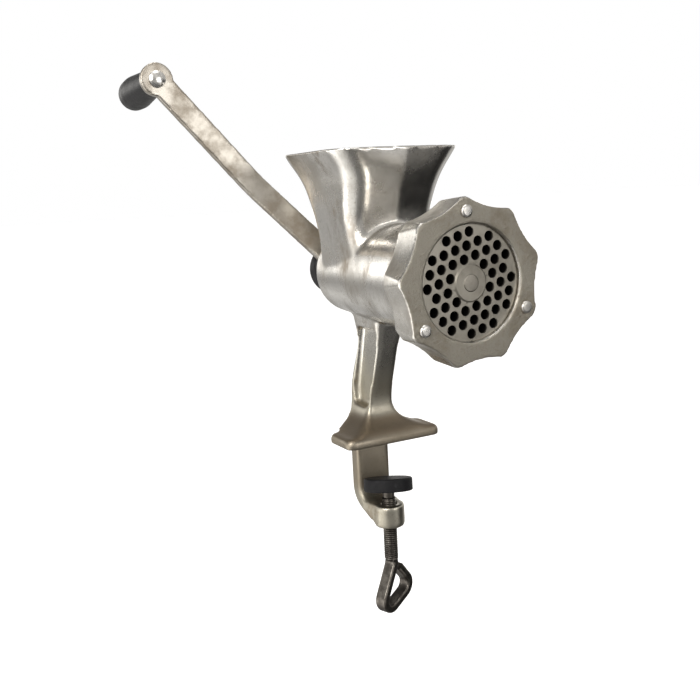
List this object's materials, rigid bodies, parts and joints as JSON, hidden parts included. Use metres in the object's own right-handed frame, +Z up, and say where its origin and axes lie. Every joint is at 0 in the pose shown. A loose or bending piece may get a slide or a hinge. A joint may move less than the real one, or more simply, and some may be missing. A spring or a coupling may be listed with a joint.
{
  "type": "hand crank meat grinder",
  "caption": "Table-clamp hand crank meat grinder: flared hopper on a screw barrel, hole plate held by a lobed ring nut, crank with turning grip.",
  "frame": {"origin": "on the underside of the upper clamp jaw, which rests on the table, at the clamp screw's axis", "axes": "+Z up, the barrel's outlet faces -Y and the crank is at +Y, X = 0 is the casting's plane of symmetry"},
  "size_m": [0.1736, 0.2536, 0.3802],
  "materials": {
    "casting": "polished casting with brown tarnish",
    "ring_metal": "as-cast face, polished crests",
    "plate_steel": "satin",
    "bright_steel": "bright",
    "dark_steel": "dark, worn",
    "arm_metal": "worn satin",
    "bush_bronze": "satin",
    "fibre": "matt",
    "black_grip": "soft sheen",
    "black_rubber": "matt"
  },
  "bodies": {
    "mincer_body": {"body_casting": "casting", "rear_bush": "bush_bronze", "plate_key_pin": "bright_steel"},
    "feed_drive": {"feed_screw": "casting", "feed_screw_shaft": "bright_steel", "thrust_washer": "fibre", "front_pivot_pin": "bright_steel", "cutter_knife": "bright_steel", "crank_arm": "arm_metal", "grip_spindle": "bright_steel", "grip_end_washer": "bright_steel"},
    "grip": {"grip_sleeve": "black_grip", "grip_ferrule": "bright_steel"},
    "washer": {"crank_washer": "bright_steel"},
    "handle_knob": {"handle_screw": "bright_steel", "handle_screw_knob": "black_grip"},
    "plate": {"hole_plate": "plate_steel"},
    "ring": {"ring_nut": "ring_metal", "ring_studs": "bright_steel"},
    "pad_carrier": {"pad_retainer": "dark_steel"},
    "screw": {"clamp_screw": "dark_steel"},
    "pad": {"pressure_pad": "black_rubber"}
  },
  "joints": [
    {"name": "crank_turn", "type": "hinge", "parent": "mincer_body", "child": "feed_drive", "pos_m": [0, 0, 0.113], "axis": [0, 1, 0], "continuous": true},
    {"name": "grip_spin", "type": "hinge", "parent": "feed_drive", "child": "grip", "pos_m": [-0.11514, 0.0762, 0.24545], "axis": [0.0343, 0.9986, -0.0395], "continuous": true},
    {"name": "crank_washer_travel", "type": "slide", "parent": "feed_drive", "child": "washer", "axis": [0, 1, 0], "range_m": [0, 0.008]},
    {"name": "handle_screw_turn", "type": "hinge", "parent": "washer", "child": "handle_knob", "pos_m": [0, 0.05, 0.113], "axis": [0, 1, 0], "range_deg": [0, 2310]},
    {"name": "plate_travel", "type": "slide", "parent": "mincer_body", "child": "plate", "axis": [0, -1, 0], "range_m": [0, 0.014]},
    {"name": "ring_nut_turn", "type": "hinge", "parent": "plate", "child": "ring", "pos_m": [0, -0.1, 0.113], "axis": [0, -1, 0], "range_deg": [0, 1685]},
    {"name": "pad_travel", "type": "slide", "parent": "mincer_body", "child": "pad_carrier", "axis": [0, 0, 1], "range_m": [-0.002, 0.02]},
    {"name": "clamp_screw_turn", "type": "hinge", "parent": "pad_carrier", "child": "screw", "pos_m": [0, 0, -0.05], "axis": [0, 0, 1], "range_deg": [-485, 4805]},
    {"name": "pad_tilt", "type": "hinge", "parent": "pad_carrier", "child": "pad", "pos_m": [0, 0, -0.0325], "axis": [0.8846, -0.4664, 0], "range_deg": [-2, 28]}
  ],
  "couplings": [
    {"joint": "handle_screw_turn", "follows": "crank_washer_travel", "rad_per_m": 5026.6},
    {"joint": "ring_nut_turn", "follows": "plate_travel", "rad_per_m": 2094.4},
    {"joint": "clamp_screw_turn", "follows": "pad_travel", "rad_per_m": 4188.8}
  ]
}
